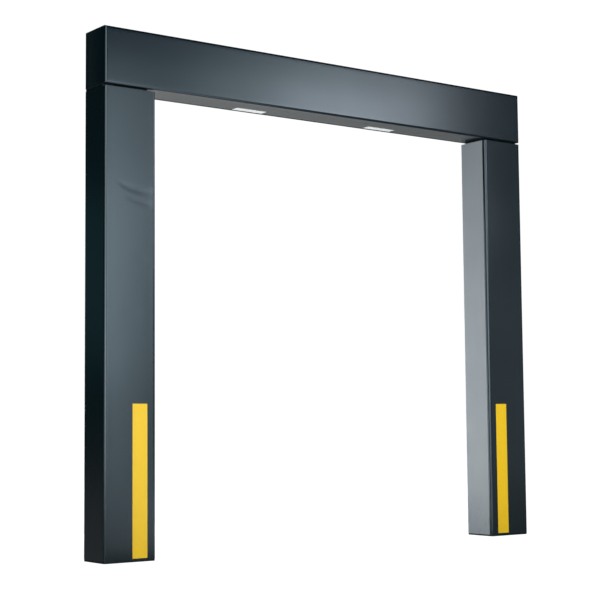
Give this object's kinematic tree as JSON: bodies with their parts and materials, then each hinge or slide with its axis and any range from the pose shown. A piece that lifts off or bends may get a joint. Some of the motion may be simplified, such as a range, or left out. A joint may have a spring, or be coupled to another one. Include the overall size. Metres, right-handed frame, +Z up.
{
  "type": "security gate",
  "caption": "Walk-through security gate: two floor-fixed antenna columns with rear service doors, carrying an overhead beam with signal lamps underneath.",
  "frame": {"origin": "on the floor, midway between the two columns and midway through their depth", "axes": "+X across the passage from the left column to the right one, -Y the front with the marker strips, +Y the rear with the service doors, +Z up"},
  "size_m": [2.56, 0.19, 2.37],
  "materials": {
    "column_paint": "satin powder coat, blue-black",
    "beam_paint": "satin powder coat, blue-black",
    "antenna_cover": "satin, radio-transparent",
    "black_steel": "matt black",
    "zinc_steel": "zinc plated",
    "bright_steel": "bright",
    "black_screws": "black coated",
    "marker_yellow": "retroreflective film",
    "radome_white": "matt",
    "lamp_lens": "opal diffuser",
    "lamp_module": "satin",
    "black_rubber": "matt",
    "black_plastic": "fine texture",
    "supply_case": "satin",
    "terminal_grey": "moulded",
    "switch_red": "moulded",
    "reader_alloy": "anodised",
    "cable_black": "sheath"
  },
  "bodies": {
    "root": {"left_base_plate": "black_steel", "right_base_plate": "black_steel", "left_front_upright": "zinc_steel", "right_front_upright": "zinc_steel", "left_rear_upright": "zinc_steel", "right_rear_upright": "zinc_steel", "left_cross_rails": "zinc_steel", "right_cross_rails": "zinc_steel", "left_top_plate": "zinc_steel", "right_top_plate": "zinc_steel", "left_casing": "column_paint", "right_casing": "column_paint", "left_antenna_cover": "antenna_cover", "right_antenna_cover": "antenna_cover", "left_rear_panel": "column_paint", "right_rear_panel": "column_paint", "left_hinge_leaves": "zinc_steel", "right_hinge_leaves": "zinc_steel", "left_hinge_pins": "bright_steel", "right_hinge_pins": "bright_steel", "left_marker_strip": "marker_yellow", "right_marker_strip": "marker_yellow", "left_upper_antenna": "radome_white", "right_upper_antenna": "radome_white", "left_lower_antenna": "radome_white", "right_lower_antenna": "radome_white", "left_neck": "black_steel", "right_neck": "black_steel", "left_neck_bolts": "bright_steel", "right_neck_bolts": "bright_steel", "left_panel_screws": "bright_steel", "right_panel_screws": "bright_steel", "left_equipment_plate": "zinc_steel", "right_equipment_plate": "zinc_steel", "left_lamp_lens": "lamp_lens", "right_lamp_lens": "lamp_lens", "left_lamp_module": "lamp_module", "right_lamp_module": "lamp_module", "cable_grommets": "black_rubber", "beam_chassis": "zinc_steel", "beam_ribs": "zinc_steel", "beam_front_cover": "beam_paint", "beam_rear_cover": "beam_paint", "beam_underside": "beam_paint", "beam_screws": "black_screws", "beam_antenna": "radome_white", "buzzer": "black_plastic", "power_supply": "supply_case", "terminal_block": "terminal_grey", "isolator_body": "terminal_grey", "reader_module": "reader_alloy", "trunk_cable": "cable_black"},
    "left_door": {"left_service_door": "column_paint", "left_lock_housing": "bright_steel"},
    "left_lock": {"left_lock_cam": "bright_steel"},
    "right_door": {"right_service_door": "column_paint", "right_lock_housing": "bright_steel"},
    "right_lock": {"right_lock_cam": "bright_steel"},
    "isolator": {"isolator_knob": "switch_red"}
  },
  "joints": [
    {"name": "left_door_hinge", "type": "hinge", "parent": "root", "child": "left_door", "pos_m": [-1.222, 0.091, 0.44], "axis": [0, 0, 1], "range_deg": [0, 110]},
    {"name": "left_lock_turn", "type": "hinge", "parent": "left_door", "child": "left_lock", "pos_m": [-1.076, 0.08, 0.44], "axis": [0, 1, 0], "range_deg": [0, 90]},
    {"name": "right_door_hinge", "type": "hinge", "parent": "root", "child": "right_door", "pos_m": [1.222, 0.091, 0.44], "axis": [0, 0, -1], "range_deg": [0, 110]},
    {"name": "right_lock_turn", "type": "hinge", "parent": "right_door", "child": "right_lock", "pos_m": [1.076, 0.08, 0.44], "axis": [0, -1, 0], "range_deg": [0, 90]},
    {"name": "isolator_turn", "type": "hinge", "parent": "root", "child": "isolator", "pos_m": [-1.16, 0.05, 0.3], "axis": [0, 1, 0], "range_deg": [0, 90]}
  ]
}
